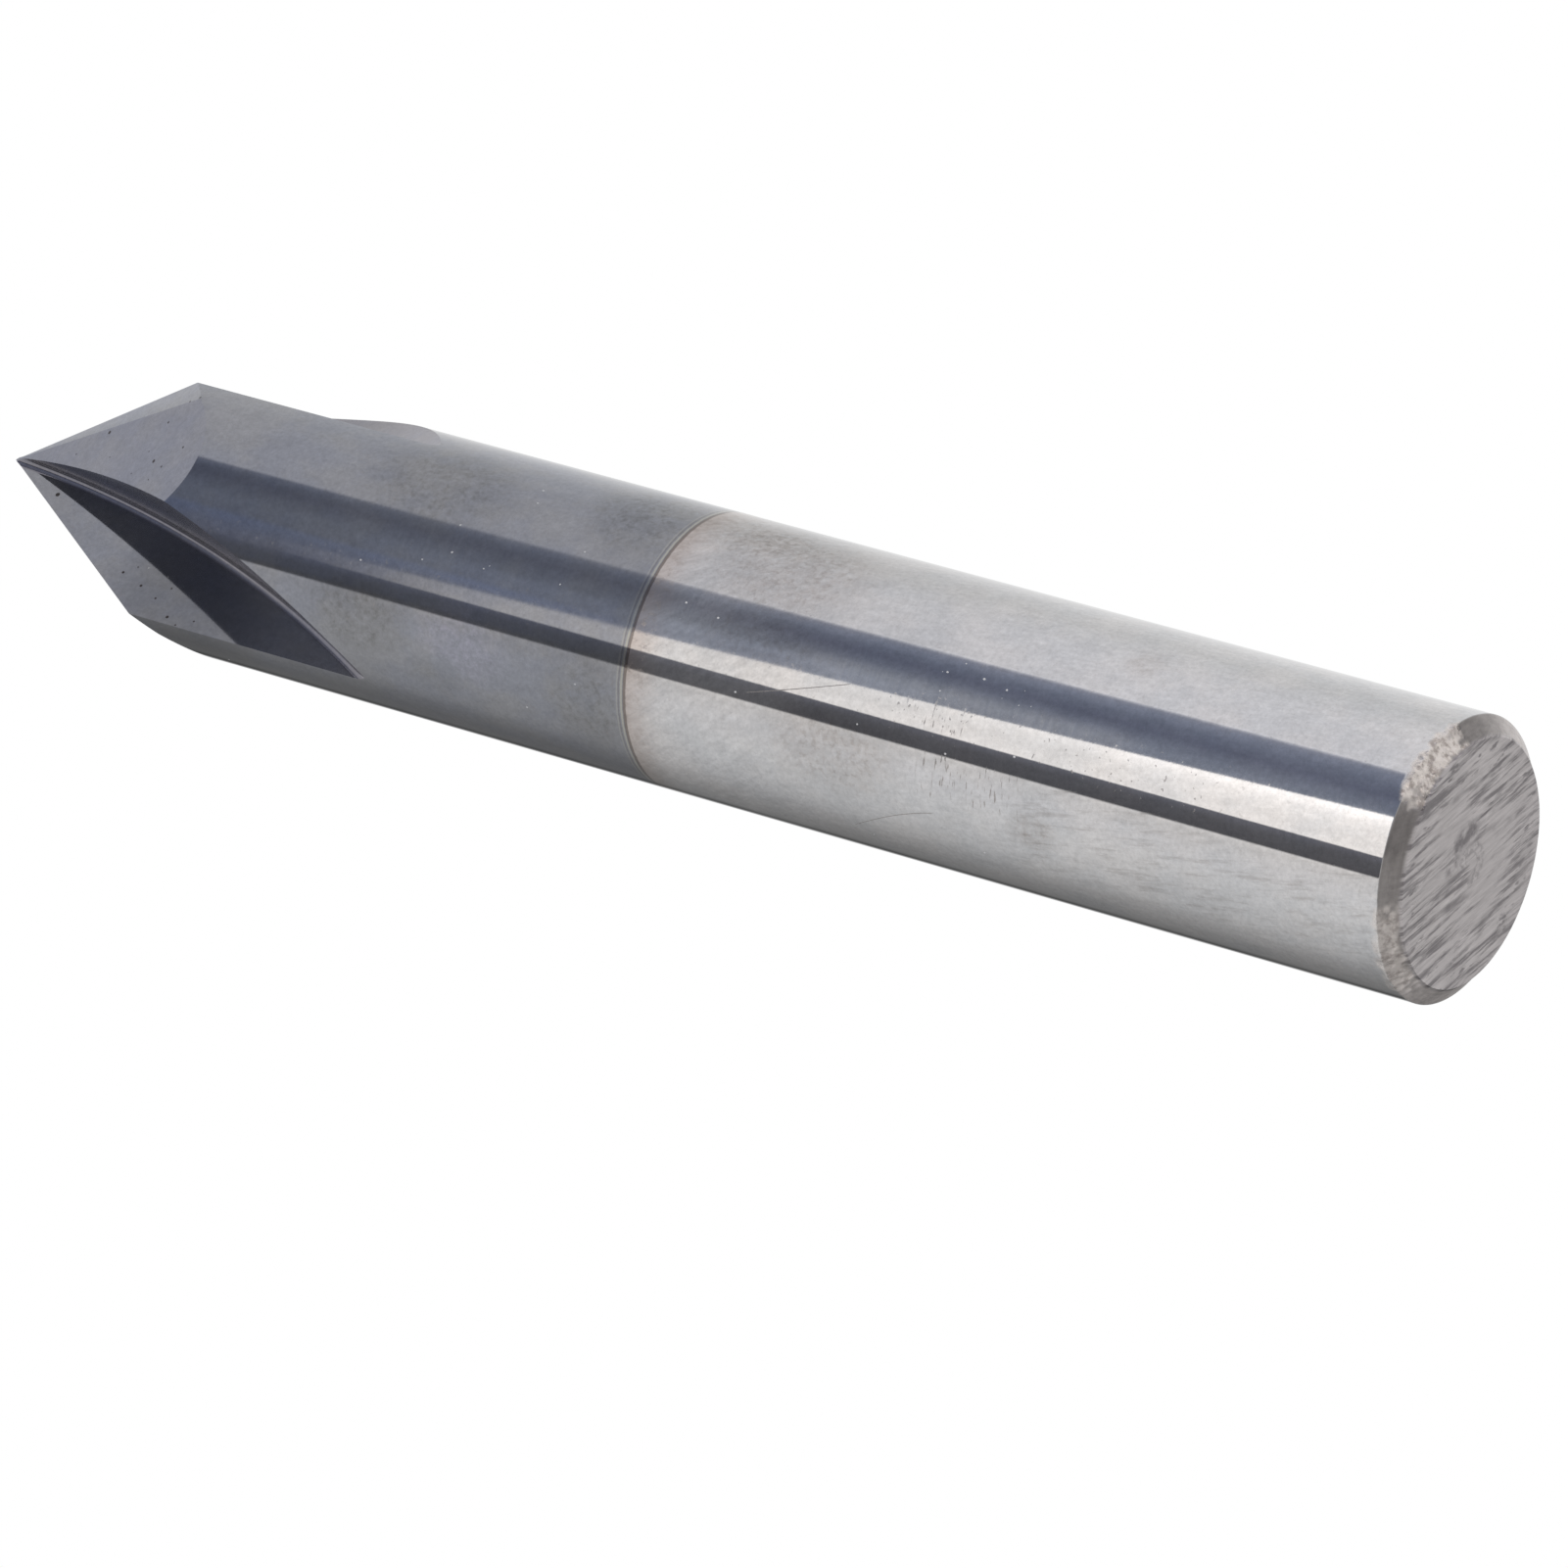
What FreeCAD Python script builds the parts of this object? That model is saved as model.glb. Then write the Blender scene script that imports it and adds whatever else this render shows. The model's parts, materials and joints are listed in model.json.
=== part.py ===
import FreeCAD, Part
import Sketcher
import os
from math import cos, radians, sin, tan
from FreeCAD import Vector

# Chamfer mill: a round carbide bar with a chamfered shank end and a three-tooth point.
# The origin is the centre of the shank's flat end, +Z runs up the axis to the point,
# and +X runs through the first cutting edge. Everything is in millimetres and degrees.

doc = FreeCAD.newDocument("ChamferMill")

# Driving dimensions
sizes = doc.addObject("Spreadsheet::Sheet", "Sizes")
driving = [
    ("overallLength", 75.0, "shank end to point"),
    ("shankDiameter", 12.0, "also the largest cutting diameter"),
    ("endChamferWidth", 0.8, "across the shank's end face"),
    ("endChamferHeight", 0.7, "along the shank"),
    ("toothCount", 3, "teeth, evenly spaced"),
    ("pointAngle", 60.0, "between opposite cutting edges, 30 on each side of the axis"),
    ("primaryTurn", 32.4, "how far behind its cutting edge the primary relief flat faces"),
    ("primaryLandAngle", 11.0, "width of the primary relief flat, seen along the axis"),
    ("secondaryTurn", 42.5, "how far behind its cutting edge the secondary relief flat faces"),
    ("wheelDiameter", 118.6, "grinding wheel that leaves each flute"),
    ("wheelCornerRadius", 0.3, "root fillet of the flute"),
    ("wheelTaper", 13.8, "how far the heel wall leans past a right angle"),
    ("wheelLead", 2.9, "wheel centre beyond the point, along the axis"),
    ("tipWeb", 0.28, "axis to the start of the flat rake face, level with the point"),
]
for row, (name, value, note) in enumerate(driving, start=1):
    sizes.set(f"A{row}", name)
    sizes.set(f"B{row}", str(value))
    sizes.set(f"C{row}", note)
    sizes.setAlias(f"B{row}", name)
doc.recompute()


def size(name):
    return float(sizes.get(name))


body = doc.addObject("PartDesign::Body", "ChamferMill")
body.Label = "chamfer_mill"

# How a sketch names its own axes and origin, and the ends and centre of a line or arc
HORIZONTAL_AXIS, VERTICAL_AXIS = range(-1, -3, -1)
START, END, CENTRE = range(1, 4)
ORIGIN = (HORIZONTAL_AXIS, START)


def origin_feature(role):
    return next(f for f in body.Origin.OriginFeatures if f.Role == role)


def sketch_on(role, name):
    sketch = body.newObject("Sketcher::SketchObject", name)
    sketch.AttachmentSupport = [(origin_feature(role), "")]
    sketch.MapMode = "FlatFace"
    return sketch


def add_loop(sketch, corners):
    """Closed loop of straight lines, joined end to start. Returns the index of each line."""
    ends = corners[1:] + corners[:1]
    lines = [
        sketch.addGeometry(Part.LineSegment(Vector(*start, 0), Vector(*end, 0)), False)
        for start, end in zip(corners, ends)
    ]
    for line, following in zip(lines, lines[1:] + lines[:1]):
        sketch.addConstraint(Sketcher.Constraint("Coincident", line, END, following, START))
    return lines


def set_size(sketch, kind, places, name, value, formula):
    """Named dimension that starts at the right value and stays bound to the sheet."""
    index = sketch.addConstraint(Sketcher.Constraint(kind, *places, value))
    sketch.renameConstraint(index, name)
    sketch.setExpression(f"Constraints.{name}", formula)


length = size("overallLength")
radius = size("shankDiameter") / 2

# Bar: a round blank, chamfered at the shank end and a little longer than the finished mill
bar_sketch = sketch_on("XZ_Plane", "BarProfile")
chamfer_width = size("endChamferWidth")
chamfer_height = size("endChamferHeight")
bar_length = length + size("tipWeb")
face, chamfer, wall, top, axis = add_loop(
    bar_sketch,
    [
        (0, 0),
        (radius - chamfer_width, 0),
        (radius, chamfer_height),
        (radius, bar_length),
        (0, bar_length),
    ],
)
bar_sketch.addConstraint(Sketcher.Constraint("Coincident", face, START, *ORIGIN))
bar_sketch.addConstraint(Sketcher.Constraint("Horizontal", face))
bar_sketch.addConstraint(Sketcher.Constraint("Vertical", wall))
bar_sketch.addConstraint(Sketcher.Constraint("Horizontal", top))
bar_sketch.addConstraint(Sketcher.Constraint("Vertical", axis))
set_size(bar_sketch, "DistanceX", (*ORIGIN, wall, START), "BarRadius", radius,
         "Sizes.shankDiameter / 2")
set_size(bar_sketch, "DistanceX", (chamfer, START, chamfer, END), "ChamferWidth", chamfer_width,
         "Sizes.endChamferWidth")
set_size(bar_sketch, "DistanceY", (chamfer, START, chamfer, END), "ChamferHeight", chamfer_height,
         "Sizes.endChamferHeight")
set_size(bar_sketch, "DistanceY", (*ORIGIN, axis, START), "BarLength", bar_length,
         "Sizes.overallLength + Sizes.tipWeb")

bar = body.newObject("PartDesign::Revolution", "Bar")
bar.Profile = bar_sketch
bar.ReferenceAxis = (bar_sketch, ["V_Axis"])
bar.Angle = 360
bar_sketch.Visibility = False
doc.recompute()

# Flute: ground by a disc wheel whose flat side leaves the rake face, in the plane through the
# axis and the cutting edge. The wheel's tapered rim leaves the heel wall and its corner the root.
# The sketch lies across the tool at the height of the wheel's centre, and its own vertical axis
# is the wheel's spindle, so the wheel is the profile turned about that axis.
corner = size("wheelCornerRadius")
taper = radians(size("wheelTaper"))
flat_radius = size("wheelDiameter") / 2 - corner
rim_depth = size("shankDiameter")
wheel_width = size("shankDiameter")
inner_radius = flat_radius - rim_depth
arc_end = (-(flat_radius + corner * cos(taper)), corner + corner * sin(taper))
rim_end = (arc_end[0] + (wheel_width - arc_end[1]) * tan(taper), wheel_width)

wheel_sketch = sketch_on("XY_Plane", "WheelProfile")
FLAT_RADIUS = "(Sizes.wheelDiameter / 2 - Sizes.wheelCornerRadius)"
wheel_sketch.setExpression(
    "AttachmentOffset.Base.x",
    f"sqrt({FLAT_RADIUS} ^ 2 - Sizes.wheelLead ^ 2) + Sizes.tipWeb")
wheel_sketch.setExpression("AttachmentOffset.Base.z", "Sizes.overallLength + Sizes.wheelLead")
side = wheel_sketch.addGeometry(
    Part.LineSegment(Vector(-inner_radius, 0, 0), Vector(-flat_radius, 0, 0)), False)
corner_circle = Part.Circle(Vector(-flat_radius, corner, 0), Vector(0, 0, 1), corner)
root = wheel_sketch.addGeometry(
    Part.ArcOfCircle(corner_circle, radians(180) - taper, radians(270)), False)
rim = wheel_sketch.addGeometry(Part.LineSegment(Vector(*arc_end, 0), Vector(*rim_end, 0)), False)
back = wheel_sketch.addGeometry(
    Part.LineSegment(Vector(*rim_end, 0), Vector(-inner_radius, wheel_width, 0)), False)
inside = wheel_sketch.addGeometry(
    Part.LineSegment(Vector(-inner_radius, wheel_width, 0), Vector(-inner_radius, 0, 0)), False)
wheel_sketch.addConstraint(Sketcher.Constraint("Tangent", side, END, root, END))
wheel_sketch.addConstraint(Sketcher.Constraint("Tangent", root, START, rim, START))
wheel_sketch.addConstraint(Sketcher.Constraint("Coincident", rim, END, back, START))
wheel_sketch.addConstraint(Sketcher.Constraint("Coincident", back, END, inside, START))
wheel_sketch.addConstraint(Sketcher.Constraint("Coincident", inside, END, side, START))
wheel_sketch.addConstraint(Sketcher.Constraint("PointOnObject", side, START, HORIZONTAL_AXIS))
wheel_sketch.addConstraint(Sketcher.Constraint("Horizontal", side))
wheel_sketch.addConstraint(Sketcher.Constraint("Horizontal", back))
wheel_sketch.addConstraint(Sketcher.Constraint("Vertical", inside))
set_size(wheel_sketch, "DistanceX", (root, CENTRE, *ORIGIN), "FlatRadius", flat_radius,
         FLAT_RADIUS)
set_size(wheel_sketch, "Radius", (root,), "CornerRadius", corner, "Sizes.wheelCornerRadius")
set_size(wheel_sketch, "DistanceX", (side, END, side, START), "RimDepth", rim_depth,
         "Sizes.shankDiameter")
set_size(wheel_sketch, "DistanceY", (inside, END, inside, START), "WheelWidth", wheel_width,
         "Sizes.shankDiameter")
set_size(wheel_sketch, "Angle", (VERTICAL_AXIS, START, rim, START), "Taper", -taper,
         "-Sizes.wheelTaper")

flute = body.newObject("PartDesign::Groove", "Flute")
flute.Profile = wheel_sketch
flute.ReferenceAxis = (wheel_sketch, ["V_Axis"])
flute.Angle = 360
wheel_sketch.Visibility = False
doc.recompute()


def repeat_round_axis(name, features):
    pattern = body.newObject("PartDesign::PolarPattern", name)
    pattern.Originals = features
    pattern.Axis = (origin_feature("Z_Axis"), [""])
    pattern.Angle = 360
    pattern.setExpression("Occurrences", "Sizes.toothCount")
    body.Tip = pattern
    doc.recompute()
    return pattern


flutes = repeat_round_axis("Flutes", [flute])


def relief_flat(name, turn, slope):
    """Flat ground through the point of the mill. It faces turn degrees behind the cutting edge
    and drops slope millimetres along the axis for each millimetre away from it."""
    sketch = sketch_on("XZ_Plane", name + "Profile")
    sketch.AttachmentOffset = FreeCAD.Placement(
        Vector(0, 0, 0), FreeCAD.Rotation(Vector(0, 1, 0), -turn[0]))
    sketch.setExpression("AttachmentOffset.Rotation.Angle", f"-{turn[1]}")
    reach = size("shankDiameter")
    drop = reach * slope[0]
    flat, over, outside = add_loop(
        sketch, [(reach, length - drop), (-reach, length + drop), (reach, length + drop)])
    point = sketch.addGeometry(Part.Point(Vector(0, length, 0)), True)
    sketch.addConstraint(Sketcher.Constraint("PointOnObject", point, START, VERTICAL_AXIS))
    sketch.addConstraint(Sketcher.Constraint("Horizontal", over))
    sketch.addConstraint(Sketcher.Constraint("Vertical", outside))
    set_size(sketch, "DistanceY", (*ORIGIN, point, START), "Point", length,
             "Sizes.overallLength")
    set_size(sketch, "DistanceX", (point, START, flat, START), "Reach", reach,
             "Sizes.shankDiameter")
    set_size(sketch, "DistanceX", (flat, END, point, START), "ReachBehind", reach,
             "Sizes.shankDiameter")
    set_size(sketch, "DistanceY", (flat, START, point, START), "Drop", drop,
             f"Sizes.shankDiameter * {slope[1]}")
    set_size(sketch, "DistanceY", (point, START, flat, END), "Rise", drop,
             f"Sizes.shankDiameter * {slope[1]}")
    pocket = body.newObject("PartDesign::Pocket", name)
    pocket.Profile = sketch
    pocket.Type = "Length"
    pocket.Midplane = True
    pocket.Length = 2 * reach
    pocket.setExpression("Length", "2 * Sizes.shankDiameter")
    sketch.Visibility = False
    doc.recompute()
    return pocket


# Relief: the primary flat holds the straight cutting edge, and the steeper secondary flat
# meets it along a line from the point, the land's angle behind the edge.
half_point = radians(size("pointAngle") / 2)
primary_turn = radians(size("primaryTurn"))
secondary_turn = radians(size("secondaryTurn"))
land = radians(size("primaryLandAngle"))
primary_slope = 1 / (tan(half_point) * cos(primary_turn))
secondary_slope = primary_slope * cos(primary_turn - land) / cos(secondary_turn - land)
PRIMARY_SLOPE = "(1 / (tan(Sizes.pointAngle / 2) * cos(Sizes.primaryTurn)))"
SECONDARY_SLOPE = (
    PRIMARY_SLOPE + " * cos(Sizes.primaryTurn - Sizes.primaryLandAngle)"
    " / cos(Sizes.secondaryTurn - Sizes.primaryLandAngle)")
primary = relief_flat(
    "PrimaryRelief", (size("primaryTurn"), "Sizes.primaryTurn"), (primary_slope, PRIMARY_SLOPE))
secondary = relief_flat(
    "SecondaryRelief", (size("secondaryTurn"), "Sizes.secondaryTurn"),
    (secondary_slope, SECONDARY_SLOPE))
reliefs = repeat_round_axis("Reliefs", [primary, secondary])

# Check every feature, then write the part
failed = [o.Name for o in doc.Objects if "Invalid" in o.State or "Error" in o.State]
if failed:
    raise RuntimeError("features failed: " + ", ".join(failed))
stages = [bar, flute, flutes, primary, secondary, reliefs]
volumes = [stage.Shape.Volume for stage in stages]
print("volume after each stage:", [round(v, 2) for v in volumes])
if any(after >= before for before, after in zip(volumes, volumes[1:])):
    raise RuntimeError("a cut removed nothing")
if body.Shape.isNull() or not body.Shape.isValid() or len(body.Shape.Solids) != 1:
    raise RuntimeError("the mill is not one valid solid")

os.makedirs("parts", exist_ok=True)
body.Shape.exportStep(os.path.join("parts", body.Label + ".step"))
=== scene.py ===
import json
import math
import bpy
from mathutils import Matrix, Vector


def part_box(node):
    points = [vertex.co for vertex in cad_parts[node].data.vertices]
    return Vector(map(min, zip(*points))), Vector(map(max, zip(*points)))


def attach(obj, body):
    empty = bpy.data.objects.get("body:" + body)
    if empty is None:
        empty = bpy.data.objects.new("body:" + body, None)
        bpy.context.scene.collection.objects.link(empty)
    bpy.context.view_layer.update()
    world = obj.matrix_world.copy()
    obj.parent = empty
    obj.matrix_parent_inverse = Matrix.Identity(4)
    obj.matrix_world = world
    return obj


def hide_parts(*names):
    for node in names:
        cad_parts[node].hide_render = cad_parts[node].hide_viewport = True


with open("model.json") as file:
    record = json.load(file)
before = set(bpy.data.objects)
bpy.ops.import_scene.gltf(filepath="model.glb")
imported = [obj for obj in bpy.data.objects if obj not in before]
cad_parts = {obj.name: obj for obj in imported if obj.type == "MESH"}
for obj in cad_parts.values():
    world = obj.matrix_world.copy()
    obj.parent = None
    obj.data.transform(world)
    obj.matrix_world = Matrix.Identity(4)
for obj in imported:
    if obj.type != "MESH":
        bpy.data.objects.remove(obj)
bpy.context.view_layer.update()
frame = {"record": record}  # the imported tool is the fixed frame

from types import SimpleNamespace

import bmesh
import bpy
import numpy as np
from mathutils import Matrix, Vector

mm = 0.001
toolNode = "chamfer_mill"
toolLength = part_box(toolNode)[1].z
toolRadius = frame["record"]["mounts"][0]["dims"]["r_mm"] * mm
samePoint = 1e-8  # metres; closer points are one


class Wire:
    # an output socket that takes part in arithmetic: every operator adds one Math node
    def __init__(self, graph, socket):
        self.graph = graph
        self.socket = socket

    def maths(self, operation, *values):
        return self.graph.add("ShaderNodeMath", {"operation": operation}, dict(enumerate(values)))

    def __add__(self, other):
        return self.maths("ADD", self, other)

    def __sub__(self, other):
        return self.maths("SUBTRACT", self, other)

    def __rsub__(self, other):
        return self.maths("SUBTRACT", other, self)

    def __mul__(self, other):
        return self.maths("MULTIPLY", self, other)

    def __truediv__(self, other):
        return self.maths("DIVIDE", self, other)

    def __rtruediv__(self, other):
        return self.maths("DIVIDE", other, self)

    def __pow__(self, other):
        return self.maths("POWER", self, other)

    def __rpow__(self, other):
        return self.maths("POWER", other, self)

    def __gt__(self, other):
        return self.maths("GREATER_THAN", self, other)

    def __lt__(self, other):
        return self.maths("LESS_THAN", self, other)

    def __abs__(self):
        return self.maths("ABSOLUTE", self)

    __radd__ = __add__
    __rmul__ = __mul__


class Graph:
    # the nodes of one material or of the world
    def __init__(self, tree):
        self.tree = tree
        tree.nodes.clear()

    def add(self, kind, settings, inputs, output=0):
        node = self.tree.nodes.new(kind)
        for name, value in settings.items():
            if name == "stops":
                self.fillRamp(node.color_ramp, value)
            else:
                setattr(node, name, value)
        for name, value in inputs.items():
            if isinstance(value, Wire):
                self.tree.links.new(value.socket, node.inputs[name])
            else:
                node.inputs[name].default_value = value
        return Wire(self, node.outputs[output]) if node.outputs else node

    def fillRamp(self, ramp, stops):
        while len(ramp.elements) < len(stops):
            ramp.elements.new(0.5)
        for element, (position, colour) in zip(ramp.elements, stops):
            element.position = position
            element.color = (*colour, 1)

    def axis(self, vector, name):
        return self.add("ShaderNodeSeparateXYZ", {}, {"Vector": vector}, name)

    def stretch(self, vector, scale):
        return self.add("ShaderNodeVectorMath", {"operation": "MULTIPLY"}, {0: vector, 1: scale})

    def noise(self, vector, cells, detail, roughness):
        # cells: how many noise cells there are in a millimetre along x, y and z
        values = {"Vector": self.stretch(vector, cells), "Scale": 1.0, "Detail": detail,
                  "Roughness": roughness}
        return self.add("ShaderNodeTexNoise", {}, values)

    def twist(self, vector, rate):  # turned about Z in step with height, for oblique marks
        values = {"Vector": vector, "Angle": self.axis(vector, "Z") * rate}
        return self.add("ShaderNodeVectorRotate", {"rotation_type": "Z_AXIS"}, values)

    def spot(self, place, centre, reach, core=0.3):
        # 1 in the core around the centre, fading to 0 at reach along each axis
        away = self.add("ShaderNodeVectorMath", {"operation": "SUBTRACT"}, {0: place, 1: centre})
        away = self.stretch(away, tuple(1 / size for size in reach))
        away = self.add("ShaderNodeVectorMath", {"operation": "LENGTH"}, {0: away}, "Value")
        return 1 - self.step(away, core, 1)

    def most(self, *masks):
        found = masks[0]
        for mask in masks[1:]:
            found = self.add("ShaderNodeMath", {"operation": "MAXIMUM"}, {0: found, 1: mask})
        return found

    def step(self, value, start, end):  # 0 before start, 1 after end, smooth between them
        values = {"Value": value, "From Min": start, "From Max": end}
        return self.add("ShaderNodeMapRange", {"interpolation_type": "SMOOTHSTEP"}, values)

    def band(self, value, start, end, soft):  # 1 between start and end, fading over soft outside
        return self.step(value, start - soft, start) * (1 - self.step(value, end, end + soft))

    def mix(self, factor, first, second):
        settings = {"data_type": "RGBA"}
        colours = {6: first, 7: second}
        ready = {name: (*c, 1) if isinstance(c, tuple) else c for name, c in colours.items()}
        return self.add("ShaderNodeMix", settings, {0: factor, **ready}, 2)

    def tint(self, colour, value):  # a colour made lighter or darker by a plain value
        return self.add("ShaderNodeVectorMath", {"operation": "SCALE"}, {0: colour, "Scale": value})


def smooth(t):
    return t * t * (3 - 2 * t)


def latticeNoise(u, v, seed):
    # value noise from 0 to 1: seeded random numbers at whole (u, v), blended smoothly in between
    size = 120
    lattice = np.random.default_rng(seed).random((size, size))
    left = np.floor(u).astype(int)
    low = np.floor(v).astype(int)
    a = smooth(u - left)
    b = smooth(v - low)
    corner = [[lattice[(left + i) % size, (low + j) % size] for j in (0, 1)] for i in (0, 1)]
    lower = corner[0][0] * (1 - a) + corner[1][0] * a
    upper = corner[0][1] * (1 - a) + corner[1][1] * a
    return lower * (1 - b) + upper * b


def gridQuads(rows, columns):
    # quads between neighbouring points of a grid whose columns close on themselves
    row = np.arange(rows - 1)[:, None]
    column = np.arange(columns)[None, :]
    after = (column + 1) % columns
    quads = [row * columns + column, row * columns + after,
             (row + 1) * columns + after, (row + 1) * columns + column]
    return np.stack([q.ravel() for q in quads], 1)


def makeObject(name, points, faces):
    mesh = bpy.data.meshes.new(name)
    mesh.from_pydata(points.reshape(-1, 3).tolist(), [], faces)
    work = bmesh.new()
    work.from_mesh(mesh)
    bmesh.ops.remove_doubles(work, verts=work.verts, dist=samePoint)
    bmesh.ops.recalc_face_normals(work, faces=work.faces)
    work.to_mesh(mesh)
    work.free()
    made = bpy.data.objects.new(name, mesh)
    bpy.context.scene.collection.objects.link(made)
    return made


def makeTurned(name, radius, height, turn):
    # a profile carried round Z
    points = np.stack([radius * np.cos(turn), radius * np.sin(turn), height + 0 * turn], 2)
    return makeObject(name, points, gridQuads(*points.shape[:2]).tolist())


bar = {
    "columns": 720,
    "faceRings": 64,
    "chamferRings": 20,
    "chamferWidth": 0.8 * mm,
    "chamferHeight": 0.7 * mm,
    "lipRings": 12,  # rings on the cylinder that the chips reach
    "lipHeight": 0.6 * mm,
    "joinHeight": 30 * mm,  # below it the shank end, above it the blank that is cut
    "sewReach": 0.0001 * mm,
    "overshoot": 0.3 * mm,  # bar left over the point for the reliefs to cut away
    "sawAngle": math.radians(82),  # direction of the saw streaks across the end face
    "sawDepth": 0.014 * mm,
    "sawPitch": 0.16 * mm,
    "sawLength": 2.4 * mm,
    "sawFiner": (2.3, 1.6),  # how much finer the fine streaks are, across and along
    "sawShares": (0.6, 0.4),  # of the broad and of the fine streaks
    "sawOrigin": (40, 60),  # noise cell of each on the axis
    "noiseSeeds": (3, 4, 5),  # broad streaks, fine streaks, waver
    "sharpAngle": math.radians(30),
    "edgeWaver": 0.03 * mm,  # how far the rough chamfer wanders inwards
    "edgeRise": 0.3 * mm,  # over which it grows from the end face's rim
    "edgeFall": 0.2 * mm,  # over which it fades before the cylinder
    "sawFall": 0.3 * mm,  # over which the saw streaks end before the rim
    "chips": [  # azimuth and half width in degrees, scoops, depth, seed
        (-24, 22, 150, 0.13 * mm, 11),
        (-112, 26, 80, 0.07 * mm, 12),
    ],
    "chipRise": 0.2 * mm,  # over which they grow from the end face's rim
    "scoopReach": (0.09 * mm, 0.30 * mm),
    "scoopPlace": (0.12, 0.98),  # share of the chamfer's length
    "scoopShare": (0.35, 1),  # of the stretch's depth
    "brokenMiddle": 0.68,  # middle and half length of the broken look, as a share
    "brokenHalf": 0.62,  # of the chamfer's length
    "raggedCell": 0.22 * mm,
    "raggedShare": 0.5,
    "raggedRise": 3,  # how steeply the broken look sets in
    "noiseTurn": 3,  # degrees round the tool in one cell of noise
}
bar["faceRadius"] = toolRadius - bar["chamferWidth"]
bar["chamferLength"] = math.hypot(bar["chamferWidth"], bar["chamferHeight"])
# half a column off the wheels' flat sides, so that no cut runs along an edge
bar["turn"] = (np.arange(bar["columns"]) + 0.5) * 2 * np.pi / bar["columns"]


def chipDepth(turn, path):
    # broken spots: scoops strewn by a seeded draw, each a shallow bowl of depth times one less
    # distance squared, the deepest bowl winning, so that crisp ridges stand between them
    depth = 0 * turn
    for centre, half, count, deep, seed in bar["chips"]:
        draw = np.random.default_rng(seed)
        azimuths = np.radians(centre + half * draw.uniform(-1, 1, count))
        heights = bar["chamferLength"] * draw.uniform(*bar["scoopPlace"], count)
        reaches = draw.uniform(*bar["scoopReach"], count)
        depths = deep * draw.uniform(*bar["scoopShare"], count)
        for azimuth, height, reach, bowl in zip(azimuths, heights, reaches, depths):
            around = toolRadius * ((turn - azimuth + np.pi) % (2 * np.pi) - np.pi)
            apart = (around ** 2 + (path - height) ** 2) / reach ** 2
            depth = np.maximum(depth, bowl * (1 - apart))
    return depth


def brokenShare(turn, path):
    # how broken the surface is, from 0 to 1: inside each chipped stretch, with a ragged outline
    share = 0 * turn
    for centre, half, count, deep, seed in bar["chips"]:
        apart = np.abs((np.degrees(turn) - centre + 180) % 360 - 180) / half
        ragged = latticeNoise(np.degrees(turn) / bar["noiseTurn"], path / bar["raggedCell"], seed) - 0.5
        lengthwise = np.abs(path / bar["chamferLength"] - bar["brokenMiddle"]) / bar["brokenHalf"]
        inside = 1 - np.maximum(apart, lengthwise) + bar["raggedShare"] * ragged
        inside = np.clip(inside * bar["raggedRise"], 0, 1)
        share = np.maximum(share, inside * deep / bar["chips"][0][3])
    return share


def makeShankEnd():
    # the profile (radius, height): flat end, chamfer, lip and straight side. The end face is sunk
    # by saw noise, the chamfer by waver, and the chamfer and lip by chips.
    face = np.linspace(0, bar["faceRadius"], bar["faceRings"] + 1)
    slope = np.linspace(0, 1, bar["chamferRings"] + 1)[1:]
    lip = bar["chamferHeight"] + bar["lipHeight"] * np.linspace(0, 1, bar["lipRings"] + 1)[1:]
    radius = np.concatenate([face, bar["faceRadius"] + slope * bar["chamferWidth"],
                             np.full(len(lip) + 1, toolRadius)])
    height = np.concatenate([0 * face, slope * bar["chamferHeight"], lip, [bar["joinHeight"]]])
    radius, turn = np.meshgrid(radius, bar["turn"], indexing="ij")
    height = np.repeat(height[:, None], bar["columns"], 1)
    path = bar["chamferLength"] * np.clip((radius - bar["faceRadius"]) / bar["chamferWidth"], 0, 1)
    path = path + np.clip(height - bar["chamferHeight"], 0, bar["lipHeight"])

    inner = np.clip((bar["faceRadius"] - radius) / bar["sawFall"], 0, 1) * (height == 0)
    along = radius * np.cos(turn - bar["sawAngle"]) / bar["sawLength"]
    across = radius * np.sin(turn - bar["sawAngle"]) / bar["sawPitch"]
    acrossFiner, alongFiner = bar["sawFiner"]
    broadOrigin, fineOrigin = bar["sawOrigin"]
    broadSeed, fineSeed, waverSeed = bar["noiseSeeds"]
    broad = latticeNoise(across + broadOrigin, along + broadOrigin, broadSeed)
    fine = latticeNoise(across * acrossFiner + fineOrigin, along * alongFiner + fineOrigin, fineSeed)
    broadShare, fineShare = bar["sawShares"]
    height = height + inner * bar["sawDepth"] * (broadShare * broad + fineShare * fine)

    waver = latticeNoise(np.degrees(turn) / bar["noiseTurn"], path / bar["edgeRise"], waverSeed)
    rough = np.clip(path / bar["edgeRise"], 0, 1)
    rough = rough * np.clip((bar["chamferLength"] - path) / bar["edgeFall"], 0, 1)
    sink = bar["edgeWaver"] * waver * rough
    sink = sink + chipDepth(turn, path) * np.clip(path / bar["chipRise"], 0, 1)
    bitten = (path > 0) & (path < bar["chamferLength"] + bar["lipHeight"])
    return makeTurned("shank_end", radius - np.where(bitten, sink, 0), height, turn)


def makeBlank():
    # the plain bar above the join, closed at both ends by flat fans
    top = toolLength + bar["overshoot"]
    radius = np.array([0, toolRadius, toolRadius, 0])[:, None]
    height = np.array([bar["joinHeight"], bar["joinHeight"], top, top])[:, None]
    return makeTurned("ground_tool", radius, height, bar["turn"][None, :])


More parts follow.
